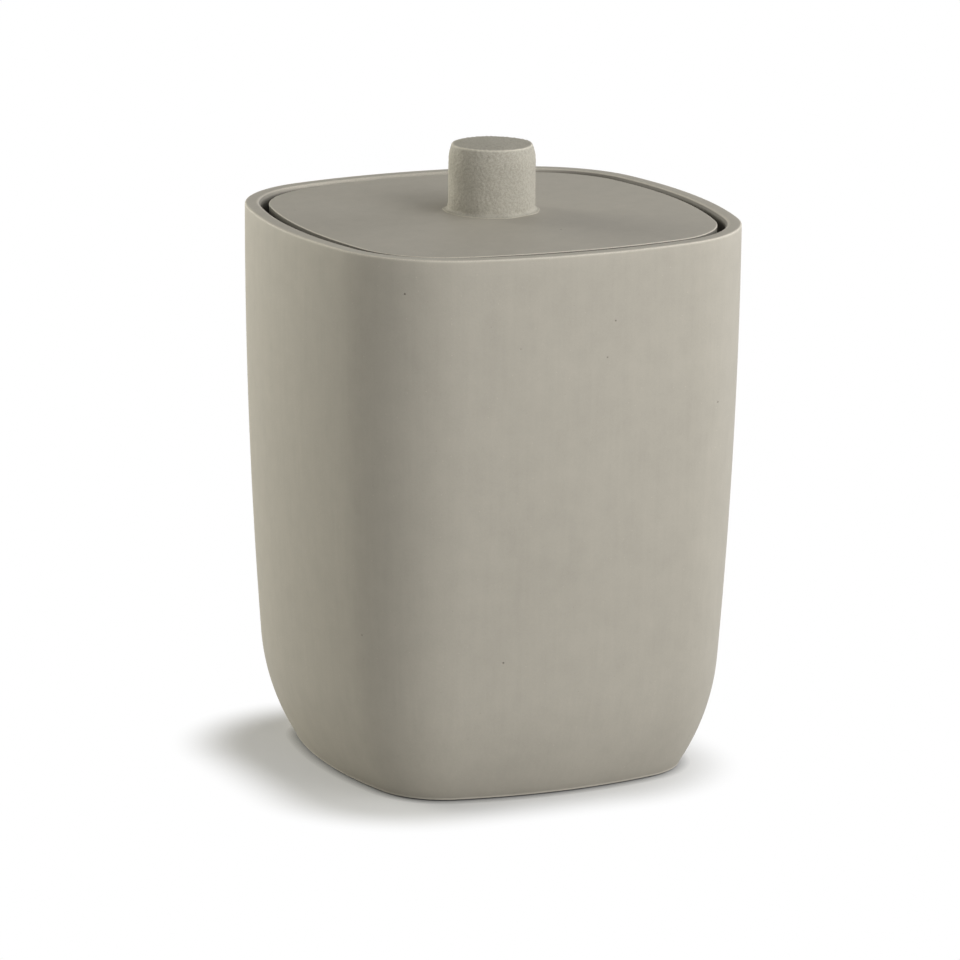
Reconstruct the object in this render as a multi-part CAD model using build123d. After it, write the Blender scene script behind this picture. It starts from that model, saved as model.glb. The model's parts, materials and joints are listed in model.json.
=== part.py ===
from build123d import *
from math import asin, atan2, cos, degrees, hypot, pi, radians, sin, sqrt
import os

# A bin cast in stone resin, with a lift-off lid on a round knob and a plastic bucket inside.
# Seen from above it is a square whose four bowed sides run into four rounder corners. Each
# level of each large piece is that plan drawn in by some distance, so a piece is drawn as an
# upright section: u is measured outwards from the rim's outline, so it is negative inside the
# bin, and z is the height above the floor. The section is then carried round the plan.
# All sizes are in millimetres.

# Plan and outer form
WIDTH = 200.0  # across the flats of the rim
RIM_HEIGHT = 243.0  # top of the rim above the floor
SIDE_RADIUS = 230.0  # plan radius of each side
CORNER_RADIUS = 55.5  # plan radius of each corner
BOW_RADIUS = 2600.0  # upright radius of the long wall, which is plumb at the rim
BOW_FOOT = 49.0  # height at which the long wall runs into the lower curve
LOWER_RADIUS = 103.0  # upright radius of the lower curve

# Cast body
WALL = 7.0
BOTTOM = 9.0
RIM_OUTER_EDGE = 0.8  # radius of the rim's outer edge
RIM_INNER_EDGE = 2.0
BASE_EDGE = 1.2
FLOOR_CORNER = 12.0  # radius between the inner wall and the floor
LEDGE_REACH = 7.0  # how far the ledge stands in from the wall
LEDGE_FACE = 6.0  # height of its upright face
LEDGE_SLOPE = 14.0  # height of the slope beneath it
LEDGE_EDGE = 0.8

# Pads under the base
PAD_RADIUS = 8.0
PAD_THICKNESS = 0.6
PAD_MARGIN = 7.0  # from a pad's edge to the corner of the base

# Lid
LID_SINK = 0.4  # how far the edge of the lid's top lies below the rim
LID_CROWN = 1.3  # rise of the lid's top from the middle of its sides to the knob's seat
LID_THICKNESS = 8.6  # at its edge
LID_GAP = 3.6  # between the lid's edge and the rim
SEAT_MARGIN = 1.0  # from the knob's foot to the edge of the flat that it stands on
LID_TOP_EDGE = 0.4
LID_UNDER_EDGE = 1.0
PLUG_GAP = 1.2  # between the locating ring and the bucket's collar
PLUG_WIDTH = 6.0
PLUG_DEPTH = 4.0
PLUG_EDGE = 1.0

# Bucket
COLLAR_HEIGHT = 8.0  # above the flange
COLLAR_THICKNESS = 3.0
COLLAR_EDGE = 0.6
COLLAR_TAPER = 4.0  # height over which it thins to the wall
FLANGE_THICKNESS = 2.0
FLANGE_EDGE = 0.6
FLANGE_GAP = 1.6  # between the flange's edge and the body's wall
BUCKET_GAP = 1.5  # between the bucket and the ledge that it passes through
BUCKET_WALL = 2.0
BUCKET_LIFT_GAP = 2.5  # beneath the hanging bucket
BUCKET_CORNER = 8.0

# Bail
WIRE_RADIUS = 1.5
WIRE_REST_GAP = 0.3  # above the flange
WIRE_SIDE_GAP = 2.0  # between the wire and the collar
WIRE_BEND = 3.0  # radius of the wire's centre line where it turns in to the pivot
WIRE_END = 2.0  # how far an end stands inside the collar
PIVOT_GAP = 0.1  # round the wire in the collar's hole

# Knob and its fixing
KNOB_RADIUS = 19.0
KNOB_HEIGHT = 30.4
KNOB_DOME = 1.1
KNOB_SHOULDER = 8.0  # height over which the top draws in
KNOB_DRAW_IN = 1.5
KNOB_TOP_EDGE = 0.7
KNOB_FOOT = 1.8  # radius of the hollow at the foot
KNOB_FOOT_LAND = 0.4
INSERT_RADIUS = 3.5
INSERT_LENGTH = 10.0
INSERT_GROOVE = 0.4  # depth of the groove that keys the insert into the knob
INSERT_GROOVE_WIDTH = 2.0
INSERT_WELL = 4.0  # hole left above the insert
SCREW_RADIUS = 2.5
SCREW_LENGTH = 16.0
SCREW_TIP = 0.6
SCREW_HOLE_GAP = 0.25
HEAD_RADIUS = 4.75
HEAD_HEIGHT = 3.0
HEAD_EDGE = 1.0
DRIVE_LENGTH = 5.2  # cross recess, across
DRIVE_WIDTH = 1.1
DRIVE_DEPTH = 1.7
WASHER_RADIUS = 7.5
WASHER_THICKNESS = 1.2
RECESS_GAP = 1.0  # round the washer in the lid's recess
RECESS_DEPTH = 4.0

# How far a floor's flat plate runs under the ring of wall and corner that it joins
FLOOR_LAP = 4.0

# Levels, from the rim down
LID_EDGE_TOP = RIM_HEIGHT - LID_SINK
LID_TOP = LID_EDGE_TOP + LID_CROWN
LID_UNDER = LID_EDGE_TOP - LID_THICKNESS
FLANGE_TOP = LID_UNDER - COLLAR_HEIGHT
LEDGE_TOP = FLANGE_TOP - FLANGE_THICKNESS
PIVOT_HEIGHT = FLANGE_TOP + WIRE_REST_GAP + WIRE_RADIUS
BASE = PAD_THICKNESS
FLOOR = BASE + BOTTOM
BUCKET_BASE = FLOOR + BUCKET_LIFT_GAP
BUCKET_FLOOR = BUCKET_BASE + BUCKET_WALL
RECESS_TOP = LID_UNDER + RECESS_DEPTH
HEAD_TOP = RECESS_TOP - WASHER_THICKNESS

# Distances in from the rim's outline
LEDGE_IN = WALL + LEDGE_REACH
BUCKET_IN = LEDGE_IN + BUCKET_GAP
COLLAR_IN = BUCKET_IN + COLLAR_THICKNESS
FLANGE_IN = WALL + FLANGE_GAP
LID_IN = WALL + LID_GAP
PLUG_IN = COLLAR_IN + PLUG_GAP
PLUG_INNER = PLUG_IN + PLUG_WIDTH
WIRE_IN = BUCKET_IN - WIRE_SIDE_GAP - WIRE_RADIUS

# Plan: each side is struck from a centre beyond the middle, and each corner from a centre on
# the diagonal that makes its arc tangent to both sides
SIDE_BACK = SIDE_RADIUS - WIDTH / 2
CORNER_AT = (sqrt(2 * (SIDE_RADIUS - CORNER_RADIUS) ** 2 - SIDE_BACK**2) - SIDE_BACK) / 2
SIDE_HALF_TURN = degrees(atan2(CORNER_AT, CORNER_AT + SIDE_BACK))
CORNER_TURN = 90 - 2 * SIDE_HALF_TURN

# Crown of the lid: a sphere about the bin's axis, through the edge of the knob's seat and the
# middle of each side of the lid
SEAT_RADIUS = KNOB_RADIUS + KNOB_FOOT + SEAT_MARGIN
CROWN_RUN = (WIDTH / 2 - LID_IN) ** 2 - SEAT_RADIUS**2
CROWN_CENTRE = (LID_TOP + LID_EDGE_TOP - CROWN_RUN / LID_CROWN) / 2
CROWN_RADIUS = hypot(SEAT_RADIUS, LID_TOP - CROWN_CENTRE)

# Upright line of the wall: the lower curve's centre lies on the long wall's last radius
BOW_TURN = degrees(asin((RIM_HEIGHT - BOW_FOOT) / BOW_RADIUS))
LOWER_U = (BOW_RADIUS - LOWER_RADIUS) * cos(radians(BOW_TURN)) - BOW_RADIUS
LOWER_Z = RIM_HEIGHT - (BOW_RADIUS - LOWER_RADIUS) * sin(radians(BOW_TURN))


def wall_line(depth, top, foot):
    """The line parallel to the outer wall at a depth behind it, from the height top to foot."""
    start = degrees(asin((RIM_HEIGHT - top) / (BOW_RADIUS - depth)))
    end = degrees(asin((LOWER_Z - foot) / (LOWER_RADIUS - depth)))
    long_wall = CenterArc((-BOW_RADIUS, RIM_HEIGHT), BOW_RADIUS - depth, -start, start - BOW_TURN)
    lower_curve = CenterArc((LOWER_U, LOWER_Z), LOWER_RADIUS - depth, -BOW_TURN, BOW_TURN - end)
    return long_wall, lower_curve


def rounded(section, corners):
    """The section with the corner nearest each point rounded by that point's radius."""
    for point, radius in corners:
        corner = section.vertices().sort_by_distance(point)[0]
        section = section.face().fillet_2d(radius, [corner])
    return section


def outline(corners):
    """A closed section through (u, z, radius) corners."""
    points = [(u, z) for u, z, radius in corners]
    radii = [radius for u, z, radius in corners]
    return make_face(FilletPolyline(*points, radius=radii, close=True))


def around_plan(section):
    """The section carried round the four sides and four corners of the plan."""
    upright = Rot(90, 0, 0) * section
    side = revolve(Pos(SIDE_RADIUS, 0, 0) * upright, Axis.Z, revolution_arc=2 * SIDE_HALF_TURN)
    side = Pos(-SIDE_BACK, 0, 0) * Rot(0, 0, -SIDE_HALF_TURN) * side
    corner = revolve(Pos(CORNER_RADIUS, 0, 0) * upright, Axis.Z, revolution_arc=CORNER_TURN)
    corner = Pos(CORNER_AT, CORNER_AT, 0) * Rot(0, 0, SIDE_HALF_TURN) * corner
    return Part() + [Rot(0, 0, 90 * turn) * piece for turn in range(4) for piece in (side, corner)]


def plan_arcs(inset):
    """One side and one corner of the plan drawn in by inset, from the middle of +X round."""
    side = CenterArc((-SIDE_BACK, 0), SIDE_RADIUS - inset, -SIDE_HALF_TURN, 2 * SIDE_HALF_TURN)
    corner = CenterArc((CORNER_AT, CORNER_AT), CORNER_RADIUS - inset, SIDE_HALF_TURN, CORNER_TURN)
    return side, corner


def plate(inset, low, high):
    """A flat plate with the plan's outline drawn in by inset."""
    arcs = [Rot(0, 0, 90 * turn) * arc for turn in range(4) for arc in plan_arcs(inset)]
    return Pos(0, 0, low) * extrude(make_face(arcs), high - low)


def vessel(depth, wall, top, base, floor, base_edge, floor_corner, extras, edges=()):
    """An open vessel: its wall and extras carried round the plan, and a plate for its floor."""
    outer_long, outer_lower = wall_line(depth, top, base)
    inner_long, inner_lower = wall_line(depth + wall, top, floor)
    foot = outer_lower @ 1
    corner = inner_lower @ 1
    flat_from = corner.X - floor_corner
    reach = flat_from - FLOOR_LAP
    section = make_face(
        [
            outer_long,
            outer_lower,
            Line(foot, (reach, base)),
            Line((reach, base), (reach, floor)),
            Line((reach, floor), corner),
            inner_lower,
            inner_long,
            Line(inner_long @ 0, outer_long @ 0),
        ]
    )
    section = rounded(section, [(foot, base_edge), (corner, floor_corner), *edges])
    for extra in extras:
        section = section + extra
    return around_plan(section) + plate(FLOOR_LAP / 2 - flat_from, base, floor)


def revolved(section):
    """A round piece about the bin's upright axis."""
    return revolve(Rot(90, 0, 0) * section, Axis.Z)


def make_body():
    """The cast shell, with the ledge that carries the bucket."""
    in_wall = -WALL / 2
    ledge = outline(
        [
            (in_wall, LEDGE_TOP, 0),
            (-LEDGE_IN, LEDGE_TOP, LEDGE_EDGE),
            (-LEDGE_IN, LEDGE_TOP - LEDGE_FACE, LEDGE_EDGE),
            (-WALL, LEDGE_TOP - LEDGE_FACE - LEDGE_SLOPE, 0),
            (in_wall, LEDGE_TOP - LEDGE_FACE - LEDGE_SLOPE, 0),
        ]
    )
    rim = [((0, RIM_HEIGHT), RIM_OUTER_EDGE), ((-WALL, RIM_HEIGHT), RIM_INNER_EDGE)]
    return vessel(0, WALL, RIM_HEIGHT, BASE, FLOOR, BASE_EDGE, FLOOR_CORNER, [ledge], rim)


def make_pads():
    """Four pads near the corners of the base."""
    base_line = wall_line(0, RIM_HEIGHT, BASE)[1] @ 1
    corner_reach = CORNER_AT * sqrt(2) + CORNER_RADIUS + base_line.X
    out = (corner_reach - PAD_MARGIN - PAD_RADIUS) / sqrt(2)
    pad = Pos(out, out, PAD_THICKNESS / 2) * Cylinder(PAD_RADIUS, PAD_THICKNESS)
    return [Rot(0, 0, 90 * turn) * pad for turn in range(4)]


def make_bucket():
    """The bucket, which hangs by its flange, with a collar that the lid rests on."""
    flange = outline(
        [
            (-FLANGE_IN, LEDGE_TOP, FLANGE_EDGE),
            (-FLANGE_IN, FLANGE_TOP, FLANGE_EDGE),
            (-BUCKET_IN - BUCKET_WALL / 2, FLANGE_TOP, 0),
            (-BUCKET_IN - BUCKET_WALL / 2, LEDGE_TOP, 0),
        ]
    )
    collar = outline(
        [
            (-BUCKET_IN, LEDGE_TOP, 0),
            (-BUCKET_IN, LID_UNDER, COLLAR_EDGE),
            (-COLLAR_IN, LID_UNDER, COLLAR_EDGE),
            (-COLLAR_IN, LEDGE_TOP, 0),
            (-BUCKET_IN - BUCKET_WALL, LEDGE_TOP - COLLAR_TAPER, 0),
            (-BUCKET_IN - BUCKET_WALL / 2, LEDGE_TOP - COLLAR_TAPER, 0),
        ]
    )
    bucket = vessel(
        BUCKET_IN,
        BUCKET_WALL,
        FLANGE_TOP,
        BUCKET_BASE,
        BUCKET_FLOOR,
        BUCKET_CORNER,
        BUCKET_CORNER,
        [flange, collar],
    )
    pivots = Rot(0, 90, 0) * Cylinder(WIRE_RADIUS + PIVOT_GAP, WIDTH)
    return bucket - Pos(0, 0, PIVOT_HEIGHT) * pivots


def make_bail():
    """The wire handle, lying on the flange round the back, its ends turned in to the pivots."""
    side_radius = SIDE_RADIUS - WIRE_IN
    bend_x = sqrt((side_radius - WIRE_BEND) ** 2 - WIRE_BEND**2) - SIDE_BACK
    bend_turn = degrees(atan2(WIRE_BEND, bend_x + SIDE_BACK))
    end_x = WIDTH / 2 - COLLAR_IN - WIRE_END
    side, corner = plan_arcs(WIRE_IN)
    right = [
        Line((end_x, 0), (bend_x, 0)),
        CenterArc((bend_x, WIRE_BEND), WIRE_BEND, -90, 90 + bend_turn),
        CenterArc((-SIDE_BACK, 0), side_radius, bend_turn, SIDE_HALF_TURN - bend_turn),
        corner,
    ]
    left = [mirror(edge, Plane.YZ) for edge in right]
    path = (Curve() + right + [Rot(0, 0, 90) * side] + left).wire()
    ring = Plane(origin=(end_x, 0, 0), z_dir=(1, 0, 0)) * Circle(WIRE_RADIUS)
    wire = sweep(ring, path)
    print("bail volume over section times length", wire.volume / (pi * WIRE_RADIUS**2 * path.length))
    return Pos(0, 0, PIVOT_HEIGHT) * wire


def make_lid():
    """The lid: crowned on top, with a locating ring inside the bucket's collar and a recess."""
    reach = PLUG_INNER + FLOOR_LAP
    section = outline(
        [
            (-LID_IN, LID_TOP, 0),
            (-LID_IN, LID_UNDER, LID_UNDER_EDGE),
            (-PLUG_IN, LID_UNDER, 0),
            (-PLUG_IN, LID_UNDER - PLUG_DEPTH, PLUG_EDGE),
            (-PLUG_INNER, LID_UNDER - PLUG_DEPTH, PLUG_EDGE),
            (-PLUG_INNER, LID_UNDER, 0),
            (-reach, LID_UNDER, 0),
            (-reach, LID_TOP, 0),
        ]
    )
    lid = around_plan(section) + plate(PLUG_INNER + FLOOR_LAP / 2, LID_UNDER, LID_TOP)
    lid = lid & Pos(0, 0, CROWN_CENTRE) * Sphere(CROWN_RADIUS)
    crown = lid.faces().filter_by(GeomType.SPHERE)[0]
    lid = fillet(crown.outer_wire().edges(), LID_TOP_EDGE)
    hole = Pos(0, 0, LID_TOP) * Cylinder(SCREW_RADIUS + SCREW_HOLE_GAP, 2 * LID_THICKNESS)
    recess = Pos(0, 0, LID_UNDER) * Cylinder(WASHER_RADIUS + RECESS_GAP, 2 * RECESS_DEPTH)
    return lid - hole - recess


def make_knob():
    """The knob: a plain cylinder that flares at its foot and draws in to a low dome."""
    edge_z = LID_TOP + KNOB_HEIGHT - KNOB_DOME
    shoulder = (KNOB_RADIUS, edge_z - KNOB_SHOULDER)
    top_edge = (KNOB_RADIUS - KNOB_DRAW_IN, edge_z)
    peak = (0, LID_TOP + KNOB_HEIGHT)
    foot_radius = KNOB_RADIUS + KNOB_FOOT
    land = LID_TOP + KNOB_FOOT_LAND
    well = INSERT_LENGTH + INSERT_WELL
    section = make_face(
        [
            Line((INSERT_RADIUS, LID_TOP), (foot_radius, LID_TOP)),
            Line((foot_radius, LID_TOP), (foot_radius, land)),
            CenterArc((foot_radius, land + KNOB_FOOT), KNOB_FOOT, 270, -90),
            Line((KNOB_RADIUS, land + KNOB_FOOT), shoulder),
            TangentArc(shoulder, top_edge, tangent=(0, 1)),
            TangentArc(peak, top_edge, tangent=(1, 0)),
            Line(peak, (0, LID_TOP + well)),
            Line((0, LID_TOP + well), (INSERT_RADIUS, LID_TOP + well)),
            Line((INSERT_RADIUS, LID_TOP + well), (INSERT_RADIUS, LID_TOP)),
        ]
    )
    return revolved(rounded(section, [(top_edge, KNOB_TOP_EDGE)]))


def make_insert():
    """The threaded insert in the knob, with a groove round its middle."""
    groove = INSERT_RADIUS - INSERT_GROOVE
    low = LID_TOP + (INSERT_LENGTH - INSERT_GROOVE_WIDTH) / 2
    high = low + INSERT_GROOVE_WIDTH
    top = LID_TOP + INSERT_LENGTH
    points = [
        (SCREW_RADIUS, LID_TOP),
        (INSERT_RADIUS, LID_TOP),
        (INSERT_RADIUS, low),
        (groove, low),
        (groove, high),
        (INSERT_RADIUS, high),
        (INSERT_RADIUS, top),
        (SCREW_RADIUS, top),
    ]
    return revolved(make_face(Polyline(*points, close=True)))


def make_screw():
    """The pan-head screw, driven up through the lid into the insert."""
    section = outline(
        [
            (0, HEAD_TOP - HEAD_HEIGHT, 0),
            (HEAD_RADIUS, HEAD_TOP - HEAD_HEIGHT, HEAD_EDGE),
            (HEAD_RADIUS, HEAD_TOP, 0),
            (SCREW_RADIUS, HEAD_TOP, 0),
            (SCREW_RADIUS, HEAD_TOP + SCREW_LENGTH, SCREW_TIP),
            (0, HEAD_TOP + SCREW_LENGTH, 0),
        ]
    )
    slot = Pos(0, 0, HEAD_TOP - HEAD_HEIGHT) * Box(DRIVE_LENGTH, DRIVE_WIDTH, 2 * DRIVE_DEPTH)
    return revolved(section) - slot - Rot(0, 0, 90) * slot


def make_washer():
    """The wide washer between the screw's head and the lid."""
    outer = Cylinder(WASHER_RADIUS, WASHER_THICKNESS)
    bore = Cylinder(SCREW_RADIUS + SCREW_HOLE_GAP, WASHER_THICKNESS)
    return Pos(0, 0, HEAD_TOP + WASHER_THICKNESS / 2) * (outer - bore)


nodes = {
    "body": make_body(),
    "inner_bucket": make_bucket(),
    "bail": make_bail(),
    "lid": make_lid(),
    "knob": make_knob(),
    "knob_insert": make_insert(),
    "knob_screw": make_screw(),
    "knob_washer": make_washer(),
}
for number, pad in enumerate(make_pads(), start=1):
    nodes[f"base_pad_{number}"] = pad

os.makedirs("parts", exist_ok=True)
for name, solid in nodes.items():
    solid.label = name
    export_step(solid, f"parts/{name}.step")

print("overall height", LID_TOP + KNOB_HEIGHT)
print("bail pivot height", PIVOT_HEIGHT, "loop reach", WIDTH / 2 - WIRE_IN)
print("bucket base", BUCKET_BASE, "corner centre", CORNER_AT, "side half turn", SIDE_HALF_TURN)
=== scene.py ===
import json
from math import acos, asin, atan2, cos, hypot, pi, radians, sin, sqrt, tan

import bpy
import numpy as np
from bpy.props import FloatProperty, FloatVectorProperty, PointerProperty
from bpy.types import Operator, Panel, PropertyGroup
from mathutils import Matrix, Vector


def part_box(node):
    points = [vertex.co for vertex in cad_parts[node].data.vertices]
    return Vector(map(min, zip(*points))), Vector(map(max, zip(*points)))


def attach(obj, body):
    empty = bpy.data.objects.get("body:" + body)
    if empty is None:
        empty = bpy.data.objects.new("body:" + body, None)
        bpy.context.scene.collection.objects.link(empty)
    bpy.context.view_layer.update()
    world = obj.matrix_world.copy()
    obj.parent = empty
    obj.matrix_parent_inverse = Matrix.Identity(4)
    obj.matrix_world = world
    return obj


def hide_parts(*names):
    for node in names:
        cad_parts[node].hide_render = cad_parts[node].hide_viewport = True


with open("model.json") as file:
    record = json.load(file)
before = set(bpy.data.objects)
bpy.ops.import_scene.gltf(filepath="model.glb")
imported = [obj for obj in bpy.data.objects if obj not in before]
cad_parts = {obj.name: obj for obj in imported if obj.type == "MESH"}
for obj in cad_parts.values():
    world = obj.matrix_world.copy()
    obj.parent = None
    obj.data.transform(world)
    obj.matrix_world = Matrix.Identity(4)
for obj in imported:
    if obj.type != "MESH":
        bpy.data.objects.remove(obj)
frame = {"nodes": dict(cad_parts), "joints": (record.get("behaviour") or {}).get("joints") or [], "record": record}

# A lidded bin cast in stone resin, with a plastic bucket inside.
#
# The body, the lid and the bucket share one plan, a square whose four bowed sides run into four
# rounder corners. Each of them is an upright section carried round that plan. In a section u is
# measured outwards from the rim's outline, so it is negative inside the bin, and z is the height
# above the floor. The knob is a section turned about the upright axis, and the bail is a tube
# along arcs of the plan. Lengths are in metres.

bl_info = {
    "name": "Lidded Resin Bin",
    "version": (1, 0, 0),
    "blender": (4, 5, 0),
    "location": "3D View > Sidebar > Bin",
    "description": "Makes the cast body, lid, knob, bucket and bail of a small bin, and its stage",
    "category": "Object",
}

MM = 0.001

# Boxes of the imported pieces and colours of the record's slots, which give the defaults below
BODY_LOW, BODY_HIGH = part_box("body")
LID_LOW, LID_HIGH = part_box("lid")
KNOB_LOW, KNOB_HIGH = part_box("knob")
BUCKET_LOW, BUCKET_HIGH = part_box("inner_bucket")
PIVOT = next(joint for joint in frame["joints"] if joint["name"] == "bail_swing")["pos_m"][2]
SLOT_COLOUR = {entry["slot"]: entry["base_color"] for entry in frame["record"]["materials"]}

# How finely the surfaces are divided
SIDE_STEPS = 22  # stations along each side of the plan
CORNER_STEPS = 30  # stations along each corner
BOW_STEPS = 30  # rows on the long wall
LOWER_STEPS = 18  # rows on the lower curve
FLOOR_CORNER_STEPS = 8  # rows from the lower curve round to a floor or an underside
EDGE_STEPS = 6  # rows on a rounded edge
FLAT_STEPS = 10  # rows from the edge of a flat to its middle
FLAT_EDGE = 0.004  # where the first of them lies, as a share of the way in
KNOB_STATIONS = 350
KNOB_ROW_STEP = 0.34 * MM
WIRE_STATIONS = 20
WIRE_ROW_STEP = 2 * MM
SUPPORT = 0.4 * MM  # from a rounded edge to the row that keeps the flat beside it flat
LONGEST_RUN = 6 * MM  # about the widest that rows lie apart on the cast and moulded pieces
POLE_SIZE = 1e-9  # a row that spans less than this is one point
CRISP = radians(40)  # faces that meet at a larger angle keep a crisp edge

# The knob's rough casting: the seeds of its patterns, and the one large lump of its flare
SAND_SEED, LUMP_SEED, WANDER_SEED = 11, 12, 13
SAND_WAVES = 90
SAND_FLOOR = -0.6  # how far the sandy waves go down, in their own height
FOOT_LUMP_ANGLE = radians(152)  # where the lump stands round the knob
FOOT_LUMP_WIDTH = radians(9)

# Finishes
BACK_HIGHLIGHT_FALL = 4  # power of the sine that keeps the painted highlight on the rim's inner edge to the back
SPECULAR_OF_RESIN = 0.18  # its surface is too fine a powder to shine much
# Factors of the cast resin's tone: its clouds from low to high, its pale and dark specks, the
# painted shade in its pits and in the gap round the lid, and its edges, paler with wear and
# a painted highlight
RESIN_TONES = {
    "low": 0.9, "high": 1.1, "pale": 1.45, "dark": 0.55, "pit": 0.4, "dusty": 0.3, "rubbed": 1.8,
}
SPECK_CORE = 0.4  # share of a speck's radius within which it is at its full strength
DRAWN_STRETCH = 0.02  # how much shorter the wire's length counts in the pattern of its lines


# Sizes and colours


def length(name, description, default):
    """A size in metres."""
    return FloatProperty(
        name=name, description=description, default=default, min=0.0, precision=5, unit="LENGTH"
    )


def share(name, description, default):
    """A share from 0 to 1."""
    return FloatProperty(
        name=name, description=description, default=default, min=0.0, max=1.0, subtype="FACTOR"
    )


def colour(name, description, default):
    """A colour, in linear light."""
    return FloatVectorProperty(
        name=name, description=description, default=default, size=3, min=0.0, max=1.0,
        subtype="COLOR",
    )


def power(name, description, default):
    """The power of a lamp."""
    return FloatProperty(name=name, description=description, default=default, min=0.0, unit="POWER")


class FormSizes(PropertyGroup):
    """The plan, and the upright line of the wall."""

    width: length("Width", "Across the flats of the rim", round(BODY_HIGH.x - BODY_LOW.x, 3))
    rim: length("Rim", "Level of the top of the rim", round(BODY_HIGH.z, 5))
    side_radius: length("Side radius", "Plan radius of each bowed side", 230 * MM)
    corner_radius: length("Corner radius", "Plan radius of each corner", 55.5 * MM)
    bow_radius: length("Bow radius", "Upright radius of the long wall, plumb at the rim", 2600 * MM)
    bow_foot: length("Bow foot", "Level where the long wall meets the lower curve", 49 * MM)
    lower_radius: length("Lower radius", "Upright radius of the lower curve", 103 * MM)


class BodySizes(PropertyGroup):
    """The cast body."""

    wall: length("Wall", "Thickness of the wall", 7 * MM)
    base: length("Base", "Level of the underside, on its pads", round(BODY_LOW.z, 5))
    bottom: length("Bottom", "Thickness of the bottom", 9 * MM)
    outer_edge: length("Outer edge", "Radius of the rim's outer edge", 0.8 * MM)
    inner_edge: length("Inner edge", "Radius of the rim's inner edge", 2 * MM)
    base_edge: length("Base edge", "Radius round the base", 1.2 * MM)
    band: length("Band", "Height of the upright band round the base", 0.65 * MM)
    floor_corner: length("Floor corner", "Radius between the wall and the floor", 12 * MM)
    ledge: length("Ledge", "Level of the ledge that carries the bucket", 224 * MM)
    ledge_reach: length("Ledge reach", "How far the ledge stands in from the wall", 7 * MM)
    ledge_face: length("Ledge face", "Height of the ledge's upright face", 6 * MM)
    ledge_slope: length("Ledge slope", "Height of the slope beneath the ledge", 14 * MM)
    ledge_root: length("Ledge root", "Radius where the slope runs into the wall", 3 * MM)
    cast_edge: length("Cast edge", "Radius of the ledge's edges", 0.8 * MM)


class LidSizes(PropertyGroup):
    """The lid, with its locating ring and the recess for the knob's screw."""

    top: length("Top", "Level of the lid's top, where the knob stands", round(LID_HIGH.z, 5))
    crown: length("Crown", "Rise of the top from the middle of its sides", 1.3 * MM)
    seat_radius: length("Seat radius", "Radius of the flat that the knob stands on", 21.8 * MM)
    thickness: length("Thickness", "Thickness of the lid at its edge", 8.6 * MM)
    inset: length("Inset", "From the rim's outline to the lid's edge", 10.6 * MM)
    top_edge: length("Top edge", "Radius of the upper edge", 0.4 * MM)
    under_edge: length("Under edge", "Radius of the lower edge", 1 * MM)
    ring_inset: length("Ring inset", "From the rim's outline to the locating ring", 19.7 * MM)
    ring_width: length("Ring width", "Width of the locating ring", 6 * MM)
    ring_foot: length("Ring foot", "Level of the locating ring's foot", round(LID_LOW.z, 5))
    ring_edge: length("Ring edge", "Radius of the locating ring's edges", 1 * MM)
    hole_radius: length("Hole radius", "Radius of the screw's hole", 2.75 * MM)
    recess_radius: length("Recess radius", "Radius of the recess under the lid", 8.5 * MM)
    recess_depth: length("Recess depth", "Depth of the recess under the lid", 4 * MM)
    recess_edge: length("Recess edge", "Radius of the recess's edges", 0.3 * MM)


class KnobSizes(PropertyGroup):
    """The knob, a sandier casting than the lid."""

    foot: length("Foot", "Level of the knob's foot, on the lid", round(KNOB_LOW.z, 5))
    top: length("Top", "Level of the middle of the knob's top", round(KNOB_HIGH.z, 5))
    radius: length("Radius", "Radius of the knob's side", 19 * MM)
    dome: length("Dome", "Rise of the top over its edge", 1.1 * MM)
    shoulder: length("Shoulder", "Height over which the top draws in", 8 * MM)
    draw_in: length("Draw-in", "How far the top draws in", 1.5 * MM)
    top_edge: length("Top edge", "Radius of the top's edge", 0.7 * MM)
    flare: length("Flare", "Radius of the hollow round the foot", 1.8 * MM)
    land: length("Land", "Height of the flare's own edge", 0.12 * MM)
    well_radius: length("Well radius", "Radius of the hole for the insert", 3.5 * MM)
    well_depth: length("Well depth", "Depth of the hole for the insert", 14 * MM)
    grain_size: length("Grain size", "Size of the sandy grain", 0.9 * MM)
    grain_depth: length("Grain depth", "Height of the sandy grain", 0.06 * MM)
    lump_size: length("Lump size", "Size of the casting's low lumps", 5 * MM)
    lump_depth: length("Lump depth", "Height of the casting's low lumps", 0.05 * MM)
    foot_wander: length("Foot wander", "How far the flare's edge wanders in and out", 0.3 * MM)
    foot_lump: length("Foot lump", "How far one lump of the flare stands out", 1.3 * MM)


class BucketSizes(PropertyGroup):
    """The moulded bucket."""

    inset: length("Inset", "From the rim's outline to the bucket's wall", 15.5 * MM)
    wall: length("Wall", "Thickness of the wall and of the floor", 2 * MM)
    base: length("Base", "Level of the bucket's underside", round(BUCKET_LOW.z, 5))
    corner: length("Corner", "Radius round the floor", 8 * MM)
    flange: length("Flange", "Level of the flange's underside", 224 * MM)
    flange_inset: length("Flange inset", "From the rim's outline to the flange's edge", 8.6 * MM)
    flange_thickness: length("Flange thickness", "Thickness of the flange", 2 * MM)
    flange_edge: length("Flange edge", "Radius of the flange's edges", 0.6 * MM)
    collar_top: length("Collar top", "Level that the lid rests on", round(BUCKET_HIGH.z, 5))
    collar_thickness: length("Collar thickness", "Thickness of the collar", 3 * MM)
    collar_edge: length("Collar edge", "Radius of the collar's edges", 0.6 * MM)
    collar_taper: length("Collar taper", "Height over which the collar thins", 4 * MM)
    root: length("Root", "Radius where the collar stands on the flange", 0.4 * MM)
    pivot: length("Pivot", "Level of the holes for the bail", PIVOT)
    pivot_radius: length("Pivot radius", "Radius of the holes for the bail", 1.6 * MM)
    gate_radius: length("Gate radius", "Radius of the moulding gate's mark under the base", 5 * MM)
    gate_depth: length("Gate depth", "Depth of the moulding gate's mark", 0.6 * MM)


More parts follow.
